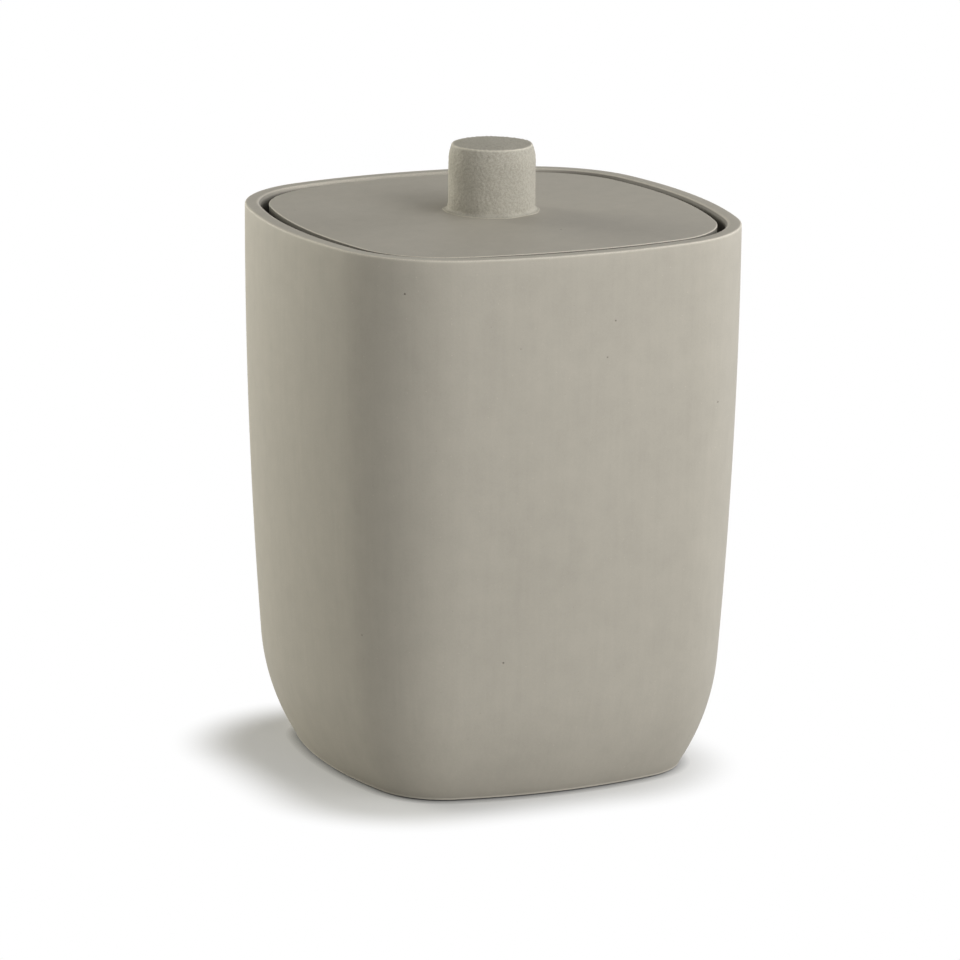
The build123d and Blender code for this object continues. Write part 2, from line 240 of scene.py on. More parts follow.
class BailSizes(PropertyGroup):
    """The wire bail."""

    inset: length("Inset", "From the rim's outline to the middle of the wire", 12 * MM)
    pivot: length("Pivot", "Level of the middle of the wire", PIVOT)
    wire_radius: length("Wire radius", "Radius of the wire", 1.5 * MM)
    bend: length("Bend", "Radius where the wire turns in to its pivot", 3 * MM)
    end: length("End", "From the middle of the bin to the wire's end", 79.5 * MM)
    end_round: length("End round", "Radius of the wire's trimmed end", 0.5 * MM)


class Finishes(PropertyGroup):
    """The colours of the pieces, and how strongly the cast resin is marked."""

    resin: colour("Resin", "Cast body and lid", SLOT_COLOUR["cast_resin"])
    knob: colour("Knob", "Cast knob", SLOT_COLOUR["knob_resin"])
    bucket: colour("Bucket", "Moulded bucket", SLOT_COLOUR["bucket_plastic"])
    wire: colour("Wire", "Stainless wire of the bail", SLOT_COLOUR["bail_wire"])
    steel: colour("Plated steel", "Screw and washer", SLOT_COLOUR["plated_steel"])
    brass: colour("Brass", "Insert in the knob", SLOT_COLOUR["brass"])
    foam: colour("Foam", "Pads under the base", SLOT_COLOUR["foam_pad"])
    mottle: share("Mottle", "How much the resin's tone varies", 0.32)
    # paler edges: partly wear, partly a painted highlight
    wear: share("Wear", "How much paler the resin's edges are", 0.9)
    # painted shade in the gap round the lid
    painted_gap_shade: share("Grime", "How much darker the gap round the lid is", 0.7)


class StageSettings(PropertyGroup):
    """The lamps, the surroundings and the floor."""

    key: power("Key", "Soft lamp at the camera's upper right", 10.5)
    right: power("Right", "Low lamp on the right", 11.5)
    face: power("Face", "Low lamp facing the large face", 10.4)
    near: power("Near", "Low lamp at the camera's left", 2.0)
    left: power("Left", "Low lamp on the left, behind the bin", 23.8)
    high: power("High", "Soft lamp high on the right", 3.5)
    ambient: share("Ambient", "Strength of the surroundings on the object", 0.0)
    floor_colour: colour("Floor", "Colour of the floor", (0.6, 0.6, 0.59))
    floor_glow: share("Floor glow", "Brightness added to the floor where the camera sees it", 0.14)


class BinSettings(PropertyGroup):
    """Everything that can be set."""

    form: PointerProperty(type=FormSizes)
    body: PointerProperty(type=BodySizes)
    lid: PointerProperty(type=LidSizes)
    knob: PointerProperty(type=KnobSizes)
    bucket: PointerProperty(type=BucketSizes)
    bail: PointerProperty(type=BailSizes)
    finish: PointerProperty(type=Finishes)
    stage: PointerProperty(type=StageSettings)


# The plan and the sections


class Plan:
    """Stations round the plan.

    Each side is struck from a centre beyond the middle, and each corner from a centre on the
    diagonal that makes its arc tangent to both sides. A station is the angle of its outward
    normal, the centre of its arc and that arc's radius at the rim's outline, so its point at u is
    centre + (radius + u) * normal.
    """

    def __init__(self, form):
        self.back = form.side_radius - form.width / 2
        spread = 2 * (form.side_radius - form.corner_radius) ** 2 - self.back**2
        self.corner_at = (sqrt(spread) - self.back) / 2
        self.half_turn = atan2(self.corner_at, self.corner_at + self.back)
        side = np.linspace(-self.half_turn, self.half_turn, SIDE_STEPS, endpoint=False)
        corner = np.linspace(self.half_turn, pi / 2 - self.half_turn, CORNER_STEPS, endpoint=False)
        on_side = np.arange(SIDE_STEPS + CORNER_STEPS) < SIDE_STEPS
        centre_x = np.where(on_side, -self.back, self.corner_at)
        centre_y = np.where(on_side, 0.0, self.corner_at)
        turn = np.arange(4)[:, None] * pi / 2
        self.angle = (np.concatenate([side, corner]) + turn).ravel()
        self.centre_x = (centre_x * np.cos(turn) - centre_y * np.sin(turn)).ravel()
        self.centre_y = (centre_x * np.sin(turn) + centre_y * np.cos(turn)).ravel()
        self.radius = np.tile(np.where(on_side, form.side_radius, form.corner_radius), 4)


def arc(centre, radius, start, end, steps):
    """Points of an arc: centre + radius * (cos, sin) of even angles from start to end."""
    angle = np.linspace(start, end, steps + 1)
    return np.array(centre) + radius * np.stack([np.cos(angle), np.sin(angle)], axis=-1)


def rounded(corners):
    """A line through (x, z, radius) corners, each cut by the arc tangent to both of its runs.

    The arc of a corner whose runs leave it along the unit vectors a and b is centred on their
    bisector, at radius / sin(half the angle between them) from the corner.
    """
    line = [np.array([corners[0][:2]])]
    for before, corner, after in zip(corners, corners[1:], corners[2:]):
        at = Vector(corner[:2])
        a = (Vector(before[:2]) - at).normalized()
        b = (Vector(after[:2]) - at).normalized()
        half = acos(a.dot(b)) / 2
        centre = at + (a + b).normalized() * corner[2] / sin(half)
        reach = corner[2] / tan(half)
        first = at + a * reach - centre
        start = atan2(first.y, first.x)
        last = at + b * reach - centre
        sweep = (atan2(last.y, last.x) - start + pi) % (2 * pi) - pi
        line.append(arc(centre, corner[2], start, start + sweep, EDGE_STEPS))
    line.append(np.array([corners[-1][:2]]))
    return np.concatenate(line)


def along(line):
    """The length of the line up to each of its points."""
    return np.concatenate([[0.0], np.cumsum(np.hypot(*np.diff(line, axis=0).T))])


def points_at(wanted, at, line):
    """The line's values at the wanted lengths along it, where at are the lengths of its points."""
    return np.stack([np.interp(wanted, at, column) for column in line.T], axis=-1)


def supported(line, longest):
    """The line with rows added beside its bends and along its long runs.

    Every run over three supports long gets a point one support from each end. Points at even
    distances, the longest that a run should be, are then added along the whole line wherever no
    other point is within a third of that.
    """
    at = along(line)
    start, end = at[:-1], at[1:]
    is_long = end - start > 3 * SUPPORT
    wanted = np.concatenate([at, start[is_long] + SUPPORT, end[is_long] - SUPPORT])
    wanted = np.sort(wanted)
    even = np.arange(longest, at[-1], longest)
    place = np.clip(np.searchsorted(wanted, even), 1, len(wanted) - 1)
    room = np.minimum(even - wanted[place - 1], wanted[place] - even)
    wanted = np.sort(np.concatenate([wanted, even[room > longest / 3]]))
    return points_at(wanted, at, line)


def on_plan(line):
    """Rows (u, z, gather, ring) of a line that follows the plan."""
    return np.column_stack([line, np.zeros((len(line), 2))])


def on_ring(line):
    """Rows of a line of radius and height that goes round the upright axis."""
    radius, z = line.T
    return np.column_stack([np.zeros_like(z), z, np.ones_like(z), radius])


def flat(u, z, ring=0.0):
    """Rows of a level flat from the plan's outline at u in to a circle of radius ring."""
    rows = np.tile([u, z, 0.0, ring], (FLAT_STEPS + 1, 1))
    rows[:, 2] = np.linspace(0, 1, FLAT_STEPS + 1)
    rows[0, 2] = FLAT_EDGE
    return rows


def carry_round(plan, rows):
    """The rows carried round the plan, as an array of rows by stations by x, y and z.

    A point is (1 - gather) * (centre + (radius + u) * normal) + gather * ring * normal.
    """
    u, z, gather, ring = (column[:, None] for column in rows.T)
    out = (1 - gather) * (plan.radius + u) + gather * ring
    x = (1 - gather) * plan.centre_x + out * np.cos(plan.angle)
    y = (1 - gather) * plan.centre_y + out * np.sin(plan.angle)
    return np.stack([x, y, np.broadcast_to(z, x.shape)], axis=-1)


def wall_line(form, depth, top, foot, corner):
    """Upright line at a depth behind the outer wall, from the level top down to a flat.

    It is three arcs, each tangent to the next: the long wall, which is plumb at the rim, the lower
    curve, and a corner that ends on the level foot.
    """
    bow_turn = asin((form.rim - form.bow_foot) / form.bow_radius)
    between = form.bow_radius - form.lower_radius
    lower = (between * cos(bow_turn) - form.bow_radius, form.rim - between * sin(bow_turn))
    start = asin((form.rim - top) / (form.bow_radius - depth))
    bow_centre = (-form.bow_radius, form.rim)
    long_wall = arc(bow_centre, form.bow_radius - depth, -start, -bow_turn, BOW_STEPS)
    reach = form.lower_radius - depth
    turn = asin((lower[1] - foot - corner) / (reach - corner))
    lower_curve = arc(lower, reach, -bow_turn, -turn, LOWER_STEPS)
    corner_centre = (lower[0] + (reach - corner) * cos(turn), foot + corner)
    floor_corner = arc(corner_centre, corner, -turn, -pi / 2, FLOOR_CORNER_STEPS)
    return np.concatenate([long_wall, lower_curve[1:], floor_corner[1:]])


def wear_and_painted_light_of(rows, reach, painted_shade_rows):
    """How much each row is marked, from 0 on flats and hollows to 1 on a sharp edge, which is
    painted paler, partly as wear and partly as a painted highlight.

    The line's turning to the left per metre is positive on an outward edge. It is scaled by reach
    and spread along the line by a bell curve of half that width. Rows in the gap round the lid,
    which get painted shade, are at -1.
    """
    line = rows[:, :2] + np.column_stack([rows[:, 3], np.zeros(len(rows))])
    run = np.diff(line, axis=0)
    size = np.hypot(*run.T) + POLE_SIZE
    cross = run[:-1, 0] * run[1:, 1] - run[:-1, 1] * run[1:, 0]
    turning = np.concatenate([[0], cross / (size[:-1] * size[1:]), [0]])
    weight = np.concatenate([[0], (size[:-1] + size[1:]) / 2, [0]])
    sharp = np.clip(turning / (weight + POLE_SIZE) * reach, 0, 1)
    at = along(line)
    bell = np.exp(-(((at[:, None] - at) * 2 / reach) ** 2)) * weight
    return np.where(painted_shade_rows, -1.0, (bell @ sharp) / (bell.sum(axis=1) + POLE_SIZE))


# Meshes


def add_object(name, data):
    """An object in the scene with its mesh, lamp or camera, in place of any earlier one."""
    earlier = bpy.data.objects.get(name)
    if earlier:
        bpy.data.objects.remove(earlier)
    made = bpy.data.objects.new(name, data)
    bpy.context.scene.collection.objects.link(made)
    return made


def skin(name, points, loop=False, keep=None):
    """A closed mesh through an array of rows by stations by x, y and z.

    The stations run round. Where loop is true the rows run round too, and otherwise the first
    and the last row are poles, each merged to one point. Faces are turned so that the volume
    within them is positive, and so they point outwards. The arrays in keep, one number or vector
    for each point, become the mesh's attributes.
    """
    rows, stations = points.shape[:2]
    index = np.arange(rows * stations).reshape(rows, stations)
    pole = np.ptp(points, axis=1).max(axis=1) < POLE_SIZE
    index[pole] = index[pole][:, :1]
    low = index if loop else index[:-1]
    high = np.roll(index, -1, axis=0) if loop else index[1:]
    quads = np.stack([low, np.roll(low, -1, 1), np.roll(high, -1, 1), high], -1).reshape(-1, 4)
    used, quads = np.unique(quads, return_inverse=True)
    quads = quads.reshape(-1, 4)
    vertices = points.reshape(-1, 3)[used]
    a, b, c, d = (vertices[quads[:, corner]] for corner in range(4))
    volume = np.einsum("ij,ij", a, np.cross(b, c)) + np.einsum("ij,ij", a, np.cross(c, d))
    if volume < 0:
        quads = quads[:, ::-1]
    repeats = quads == np.roll(quads, -1, axis=1)
    whole = ~repeats.any(axis=1)
    triangles = quads[~whole][~repeats[~whole]].reshape(-1, 3)
    mesh = bpy.data.meshes.new(name)
    mesh.from_pydata(vertices.tolist(), [], quads[whole].tolist() + triangles.tolist())
    mesh.shade_smooth()
    mesh.set_sharp_from_angle(angle=CRISP)
    for attribute, values in (keep or {}).items():
        kind, field = ("FLOAT", "value") if values.ndim == 2 else ("FLOAT_VECTOR", "vector")
        values = values.reshape(rows * stations, -1)[used]
        layer = mesh.attributes.new(attribute, kind, "POINT")
        layer.data.foreach_set(field, values.astype(np.float32).ravel())
    return add_object(name, mesh)


def wear_and_painted_light_attribute(points, rows, reach, painted_shade_rows=False):
    """Each row's wear, painted highlight or painted shade, the same all round, for its points."""
    return {"wear": np.repeat(wear_and_painted_light_of(rows, reach, painted_shade_rows)[:, None], points.shape[1], axis=1)}


def waves(points, size, seed, count=60):
    """A smooth random height at each point, about 1 high, with lumps of about the size given.

    It is a sum of sines across planes in random directions, of random wavelengths near twice the
    size and random phases, divided by the square root of half their number.
    """
    draw = np.random.default_rng(seed)
    across = draw.normal(size=(count, 3))
    across /= np.linalg.norm(across, axis=1, keepdims=True)
    wavelength = 2 * size * draw.uniform(0.7, 1.5, count)
    phase = draw.uniform(0, 2 * pi, count)
    angle = points @ (across * (2 * pi / wavelength)[:, None]).T + phase
    return np.sin(angle).sum(axis=-1) / sqrt(count / 2)


def make_body(form, body):
    """The cast shell: out under the base, up the wall, over the rim, in over the ledge and down.

    The wall's foot, which leans in, ends in a low upright band. The painted shade of the gap
    begins a quarter of the way down the rim's inner edge. Along the back that edge is painted
    paler instead, a painted highlight, the more the higher it lies.
    """
    wall = wall_line(form, 0, form.rim - body.outer_edge, body.base, body.base_edge)[::-1]
    band_top = body.base + body.band
    band_edge = body.band / 4
    foot = np.interp(band_top, wall[:, 1], wall[:, 0])
    band = [(foot - body.wall, body.base), (foot, body.base, band_edge), (foot, band_top)]
    outer = np.concatenate([rounded(band), wall[wall[:, 1] > band_top + band_edge]])
    outer_corner = (-body.outer_edge, form.rim - body.outer_edge)
    inner_corner = (body.inner_edge - body.wall, form.rim - body.inner_edge)
    rim_outer = arc(outer_corner, body.outer_edge, 0, pi / 2, EDGE_STEPS)
    rim_inner = arc(inner_corner, body.inner_edge, pi / 2, pi, EDGE_STEPS)
    floor = body.base + body.bottom
    slope_foot = body.ledge - body.ledge_face - body.ledge_slope
    inner = wall_line(form, body.wall, slope_foot, floor, body.floor_corner)
    ledge_in = -body.wall - body.ledge_reach
    ledge = rounded([
        (-body.wall, form.rim - body.inner_edge),
        (-body.wall, body.ledge, body.cast_edge / 2),
        (ledge_in, body.ledge, body.cast_edge),
        (ledge_in, body.ledge - body.ledge_face, body.cast_edge),
        (*inner[0], body.ledge_root),
        tuple(inner[1]),
    ])
    line = np.concatenate([outer, rim_outer[1:], rim_inner, ledge[1:-1], inner[1:]])
    rows = np.concatenate([
        flat(outer[0][0], body.base)[::-1],
        on_plan(supported(line, LONGEST_RUN)),
        flat(inner[-1][0], floor),
    ])
    plan = Plan(form)
    points = carry_round(plan, rows)
    u, z = rows[:, 0], rows[:, 1]
    in_rim = (u < inner_corner[0]) & (z > body.ledge)
    down = (form.rim - z) / body.inner_edge
    # rows from a quarter of the way down the rim's inner edge to the ledge get painted shade
    keep = wear_and_painted_light_attribute(points, rows, body.base_edge, in_rim & (down > 1 / 4))
    # a painted highlight on the rim's inner edge, strongest at its top and along the back
    high = np.where(in_rim, 1 - np.clip(down, 0, 1) ** 2, 0)
    rubbed = np.outer(high, np.clip(np.sin(plan.angle), 0, 1) ** BACK_HIGHLIGHT_FALL)
    keep["wear"] += (1 - keep["wear"]) * rubbed
    return skin("cast_body", points, keep=keep)


def make_lid(form, lid):
    """The lid: out under it from the screw's hole, up its edge, in over the top, down the hole.

    It is drawn with a flat top at the level of its edge, brim. All that lies above the recess is
    then raised, the more the higher it lies, so that the top comes to the sphere
    z = centre + sqrt(radius**2 - x**2 - y**2), and stays level where the knob stands. The sphere
    passes through the edge of that seat and the middle of each side.
    """
    brim = lid.top - lid.crown
    under = brim - lid.thickness
    ceiling = under + lid.recess_depth
    ring_inner = lid.ring_inset + lid.ring_width
    recess = rounded([
        (lid.hole_radius, ceiling),
        (lid.recess_radius, ceiling, lid.recess_edge),
        (lid.recess_radius, under, lid.recess_edge),
        (lid.recess_radius + lid.recess_depth, under),
    ])
    edge = rounded([
        (-ring_inner - lid.ring_width, under),
        (-ring_inner, under, lid.ring_edge / 2),
        (-ring_inner, lid.ring_foot, lid.ring_edge),
        (-lid.ring_inset, lid.ring_foot, lid.ring_edge),
        (-lid.ring_inset, under, lid.ring_edge / 2),
        (-lid.inset, under, lid.under_edge),
        (-lid.inset, brim, lid.top_edge),
        (-lid.inset - lid.ring_width, brim),
    ])
    rows = np.concatenate([
        on_ring(supported(recess, LONGEST_RUN)),
        flat(edge[0][0], under, recess[-1][0])[-2::-1],
        on_plan(supported(edge, LONGEST_RUN)),
        flat(edge[-1][0], brim, lid.hole_radius),
    ])
    u, z = rows[:, 0], rows[:, 1]
    # rows on the lid's side in the gap round it get painted shade
    painted_shade_rows = (u <= -lid.inset) & (u > -lid.ring_inset) & (z > under) & (z < brim - lid.top_edge)
    points = carry_round(Plan(form), rows)
    x, y, z = np.moveaxis(points, -1, 0)
    run = (form.width / 2 - lid.inset) ** 2 - lid.seat_radius**2
    centre = (lid.top + brim - run / lid.crown) / 2
    radius = hypot(lid.seat_radius, lid.top - centre)
    sphere = centre + np.sqrt(radius**2 - x**2 - y**2)
    lifted = np.clip((z - ceiling) / (brim - ceiling), 0, 1)
    points[..., 2] += (np.minimum(sphere, lid.top) - brim) * lifted
    return skin("cast_lid", points, loop=True, keep=wear_and_painted_light_attribute(points, rows, lid.top_edge, painted_shade_rows))


def knob_line(knob):
    """Section of the knob, in radius and height, from the top of its well round to its peak.

    The shoulder's arc is tangent to the side and draws in by draw_in over its height, and the
    dome's arc rises from the top edge to the peak.
    """
    edge_z = knob.top - knob.dome
    edge_r = knob.radius - knob.draw_in
    shoulder_radius = (knob.draw_in**2 + knob.shoulder**2) / (2 * knob.draw_in)
    dome_radius = (edge_r**2 + knob.dome**2) / (2 * knob.dome)
    shoulder_centre = (knob.radius - shoulder_radius, edge_z - knob.shoulder)
    shoulder_turn = asin(knob.shoulder / shoulder_radius)
    shoulder = arc(shoulder_centre, shoulder_radius, 0, shoulder_turn, 2 * EDGE_STEPS)
    dome_lean = asin(edge_r / dome_radius)
    dome_centre = (0, knob.top - dome_radius)
    dome = arc(dome_centre, dome_radius, pi / 2 - dome_lean, pi / 2, 2 * EDGE_STEPS)
    well_top = knob.foot + knob.well_depth
    flare_radius = knob.radius + knob.flare
    flare_centre = (flare_radius, knob.foot + knob.land + knob.flare)
    flare = arc(flare_centre, knob.flare, -pi / 2, -pi, EDGE_STEPS)
    top_edge = rounded([tuple(shoulder[-2]), (edge_r, edge_z, knob.top_edge), tuple(dome[1])])
    return np.concatenate([
        [(0, well_top), (knob.well_radius, well_top), (knob.well_radius, knob.foot)],
        [(flare_radius, knob.foot)],
        flare,
        shoulder[:-1],
        top_edge[1:-1],
        dome[1:],
    ])


def turned(radius, height, angle):
    """Points of a section turned about the upright axis: radius * (cos, sin) of angle, height."""
    x = radius[:, None] * np.cos(angle)
    y = radius[:, None] * np.sin(angle)
    return np.stack([x, y, np.broadcast_to(height[:, None], x.shape)], axis=-1)


def make_knob(knob):
    """The knob: its section turned about the upright axis, then roughened.

    Each point moves along the surface's normal by sandy waves and low lumps. Round the foot the
    flare wanders in and out, with one larger lump, and the underside's edge goes with it. The
    underside stays level, because it lies on the lid.
    """
    line = knob_line(knob)
    foot_edge = along(line)[3]  # the length up to the underside's outer edge
    line = supported(line, KNOB_ROW_STEP)
    at = along(line)
    radius, height = line.T
    angle = np.linspace(0, 2 * pi, KNOB_STATIONS, endpoint=False)
    run_r, run_z = np.gradient(radius, at), np.gradient(height, at)
    size = np.hypot(run_r, run_z)
    points = turned(radius, height, angle)
    normal = turned(run_z / size, -run_r / size, angle)
    rise = height - knob.foot
    shown = np.clip((rise - knob.land) / knob.flare, 0, 1) * np.clip(radius / knob.grain_size, 0, 1)
    shown = np.where(at > foot_edge, shown, 0)
    sand = np.maximum(waves(points, knob.grain_size, SAND_SEED, SAND_WAVES), SAND_FLOOR)
    lumps = waves(points, knob.lump_size, LUMP_SEED)
    raised = sand * knob.grain_depth + lumps * knob.lump_depth
    points = points + normal * (raised * shown[:, None])[..., None]
    skirt = np.clip(1 - rise / (2 * knob.flare), 0, 1)
    skirt = skirt * np.clip((radius - knob.radius + knob.flare) / knob.flare, 0, 1)
    outwards = turned(np.ones(1), np.zeros(1), angle)
    apart = (angle - FOOT_LUMP_ANGLE + pi) % (2 * pi) - pi
    push = knob.foot_lump * np.exp(-((apart / FOOT_LUMP_WIDTH) ** 2))
    push = push + knob.foot_wander * waves(knob.radius * outwards[0], knob.lump_size, WANDER_SEED)
    points = points + outwards * (skirt[:, None] * push)[..., None]
    points[..., 2] = np.minimum(points[..., 2], knob.top)
    # the knob's edges are painted paler: partly wear, partly a painted highlight
    return skin("cast_knob", points, keep=wear_and_painted_light_attribute(points, on_plan(line), knob.top_edge))


def drill(piece, height, radius, reach):
    """Cuts a round hole along X right through the piece at a height above the floor."""
    section = np.array([(0, -reach), (radius, -reach), (radius, reach), (0, reach)])
    angle = np.linspace(0, 2 * pi, 2 * WIRE_STATIONS, endpoint=False)
    rod = turned(section[:, 0], section[:, 1], angle)[..., [2, 0, 1]] + [0, 0, height]
    cutter = skin("drill", rod)
    cut = piece.modifiers.new("Pivot holes", "BOOLEAN")
    cut.object = cutter
    cut.operation = "DIFFERENCE"
    cut.solver = "EXACT"
    made = piece.evaluated_get(bpy.context.evaluated_depsgraph_get())
    mesh = bpy.data.meshes.new_from_object(made)
    piece.modifiers.clear()
    piece.data = mesh
    mesh.set_sharp_from_angle(angle=CRISP)
    bpy.data.objects.remove(cutter)


def make_bucket(form, bucket):
    """The bucket: out under its floor, up its wall, round the flange and the collar, and down."""
    outer = wall_line(form, bucket.inset, bucket.flange, bucket.base, bucket.corner)[::-1]
    collar_foot = bucket.flange - bucket.collar_taper
    floor = bucket.base + bucket.wall
    inner = wall_line(form, bucket.inset + bucket.wall, collar_foot, floor, bucket.corner)
    flange_top = bucket.flange + bucket.flange_thickness
    collar_in = -bucket.inset - bucket.collar_thickness
    top = rounded([
        tuple(outer[-2]),
        (outer[-1][0], bucket.flange, bucket.root),
        (-bucket.flange_inset, bucket.flange, bucket.flange_edge),
        (-bucket.flange_inset, flange_top, bucket.flange_edge),
        (-bucket.inset, flange_top, bucket.root),
        (-bucket.inset, bucket.collar_top, bucket.collar_edge),
        (collar_in, bucket.collar_top, bucket.collar_edge),
        (collar_in, bucket.flange, bucket.collar_taper),
        (*inner[0], bucket.collar_taper),
        tuple(inner[1]),
    ])
    line = np.concatenate([outer[:-1], top[1:-1], inner[1:]])
    gate = rounded([
        (0, bucket.base + bucket.gate_depth),
        (bucket.gate_radius, bucket.base + bucket.gate_depth, bucket.root),
        (bucket.gate_radius, bucket.base, bucket.root),
        (2 * bucket.gate_radius, bucket.base),
    ])
    rows = np.concatenate([
        on_ring(supported(gate, LONGEST_RUN)),
        flat(outer[0][0], bucket.base, 2 * bucket.gate_radius)[-2::-1],
        on_plan(supported(line, LONGEST_RUN)),
        flat(inner[-1][0], floor),
    ])
    piece = skin("moulded_bucket", carry_round(Plan(form), rows))
    drill(piece, bucket.pivot, bucket.pivot_radius, form.width)
    return piece


def bail_line(form, bail):
    """Middle line of the bail, on the level of its pivots.

    The half on the right is a straight end, a bend, part of the side's arc, the corner's arc and
    half of the back's arc, all drawn in by the inset. The left half is its mirror image.
    """
    plan = Plan(form)
    side = form.side_radius - bail.inset
    bend_x = sqrt((side - bail.bend) ** 2 - bail.bend**2) - plan.back
    bend_turn = atan2(bail.bend, bend_x + plan.back)
    corner = form.corner_radius - bail.inset
    corner_centre = (plan.corner_at, plan.corner_at)
    far = pi / 2 - plan.half_turn
    right = np.concatenate([
        [(bail.end, 0)],
        arc((bend_x, bail.bend), bail.bend, -pi / 2, bend_turn, 2 * EDGE_STEPS),
        arc((-plan.back, 0), side, bend_turn, plan.half_turn, SIDE_STEPS)[1:],
        arc(corner_centre, corner, plan.half_turn, far, CORNER_STEPS)[1:],
        arc((0, -plan.back), side, far, pi / 2, SIDE_STEPS)[1:],
    ])
    return np.concatenate([right, right[-2::-1] * (-1, 1)])


def make_bail(form, bail):
    """The bail: line + radius * (cos * sideways + sin * up), the radius falling to 0 at its ends.

    A point also keeps where it lies on the wire, with the length along it shortened, so that the
    fine lines left by drawing the wire follow it.
    """
    line = bail_line(form, bail)
    at = along(line)
    wire, edge = bail.wire_radius, bail.end_round
    section = rounded([(0, 0), (0, wire, edge), (at[-1], wire, edge), (at[-1], 0)])
    reach, radius = supported(section, WIRE_ROW_STEP).T
    middle = points_at(reach, at, line)
    heading = points_at(reach, at, np.gradient(line, at, axis=0))
    heading /= np.hypot(*heading.T)[:, None]
    turn = np.linspace(0, 2 * pi, WIRE_STATIONS, endpoint=False)
    sideways = radius[:, None] * np.cos(turn)
    up = radius[:, None] * np.sin(turn)
    x = middle[:, :1] + heading[:, 1:] * sideways
    y = middle[:, 1:] - heading[:, :1] * sideways
    drawn = np.broadcast_to(reach[:, None] * DRAWN_STRETCH, x.shape)
    keep = {"on_wire": np.stack([sideways, up, drawn], axis=-1)}
    return skin("wire_bail", np.stack([x, y, bail.pivot + up], axis=-1), keep=keep)


# Shader nodes


class Value:
    """An output of a shader node. Arithmetic on it adds Math nodes to the same tree."""

    def __init__(self, tree, socket):
        self.tree = tree
        self.socket = socket

    def maths(self, operation, *others, clamp=False):
        """A Math node on this value and the others."""
        return self.tree.maths(operation, self, *others, clamp=clamp)

    def __add__(self, other):
        return self.maths("ADD", other)

    def __sub__(self, other):
        return self.maths("SUBTRACT", other)

    def __rsub__(self, other):
        return self.tree.maths("SUBTRACT", other, self)

    def __mul__(self, other):
        return self.maths("MULTIPLY", other)

    __radd__ = __add__
    __rmul__ = __mul__

    def swing(self, amount):
        """How far the value is from a half, times an amount."""
        return (self - 0.5) * amount

    def step(self, low, high):
        """0 below low, 1 above high and smooth between; the other way round if low is higher."""
        limits = {"From Min": low, "From Max": high, "Value": self}
        return self.tree.node("ShaderNodeMapRange", {"interpolation_type": "SMOOTHSTEP"}, limits)

    def output(self, name):
        """Another output of the same node."""
        return Value(self.tree, self.socket.node.outputs[name])


class Tree:
    """The nodes of a material or of the world."""

    def __init__(self, owner):
        owner.use_nodes = True
        self.nodes = owner.node_tree.nodes
        self.links = owner.node_tree.links
        self.nodes.clear()

    def node(self, kind, settings=None, inputs=None, output=0):
        """Adds a node of a type, makes its settings, fills its sockets and gives an output."""
        node = self.nodes.new(kind)
        for name, value in (settings or {}).items():
            setattr(node, name, value)
        for name, value in (inputs or {}).items():
            if isinstance(value, Value):
                self.links.new(value.socket, node.inputs[name])
            else:
                node.inputs[name].default_value = value
        return Value(self, node.outputs[output]) if node.outputs else None

    def maths(self, operation, *values, clamp=False):
        """A Math node on the values."""
        settings = {"operation": operation, "use_clamp": clamp}
        return self.node("ShaderNodeMath", settings, dict(enumerate(values)))

    def place(self):
        """Where a point lies on the object, in metres."""
        return self.node("ShaderNodeTexCoord", output="Object")

    def vector(self, operation, *values, output="Vector"):
        """A Vector Math node on the values."""
        inputs = dict(enumerate(values))
        return self.node("ShaderNodeVectorMath", {"operation": operation}, inputs, output)

    def noise(self, place, size, detail=2.0):
        """Soft noise from 0 to 1 with lumps of about the size given."""
        inputs = {"Vector": place, "Scale": 1 / size, "Detail": detail}
        return self.node("ShaderNodeTexNoise", inputs=inputs)

    def specks(self, place, spacing, radius, share_kept):
        """Round specks of a radius, 1 in their middles and 0 between them, about spacing apart.

        Each cell of the pattern has one random number, and only a share of the cells keeps its
        speck.
        """
        cells = self.node("ShaderNodeTexVoronoi", inputs={"Vector": place, "Scale": 1 / spacing})
        chance = self.node("ShaderNodeSeparateColor", inputs={"Color": cells.output("Color")})
        disc = cells.step(radius / spacing, SPECK_CORE * radius / spacing)
        return disc * chance.maths("LESS_THAN", share_kept)

    def stretched(self, place, shape):
        """The place with each axis scaled, so that a pattern on it is drawn out."""
        return self.node("ShaderNodeMapping", inputs={"Vector": place, "Scale": shape})

    def mix(self, factor, first, second):
        """A colour between two, by the factor. The numbers are those of the colours' sockets."""
        inputs = {0: factor, 6: first, 7: second}
        return self.node("ShaderNodeMix", {"data_type": "RGBA"}, inputs, output=2)

    def bump(self, height):
        """The normal of a surface raised by a height in millimetres."""
        return self.node("ShaderNodeBump", inputs={"Distance": MM, "Height": height})

    def surface(self, base, roughness, normal, metallic=0.0, specular=0.5):
        """A Principled BSDF with the inputs given, joined to the output."""
        inputs = {
            "Base Color": base,
            "Roughness": roughness,
            "Normal": normal,
            "Metallic": metallic,
            "Specular IOR Level": specular,
        }
        shader = self.node("ShaderNodeBsdfPrincipled", inputs=inputs)
        self.node("ShaderNodeOutputMaterial", inputs={"Surface": shader})


def shade(tone, factor):
    """The colour made lighter or darker by a factor, with an alpha of 1."""
    return (*(min(part * factor, 1.0) for part in tone), 1.0)


def new_material(name):
    """A new material and its tree, in place of any earlier one of that name."""
    earlier = bpy.data.materials.get(name)
    if earlier:
        bpy.data.materials.remove(earlier)
    material = bpy.data.materials.new(name)
    return material, Tree(material)


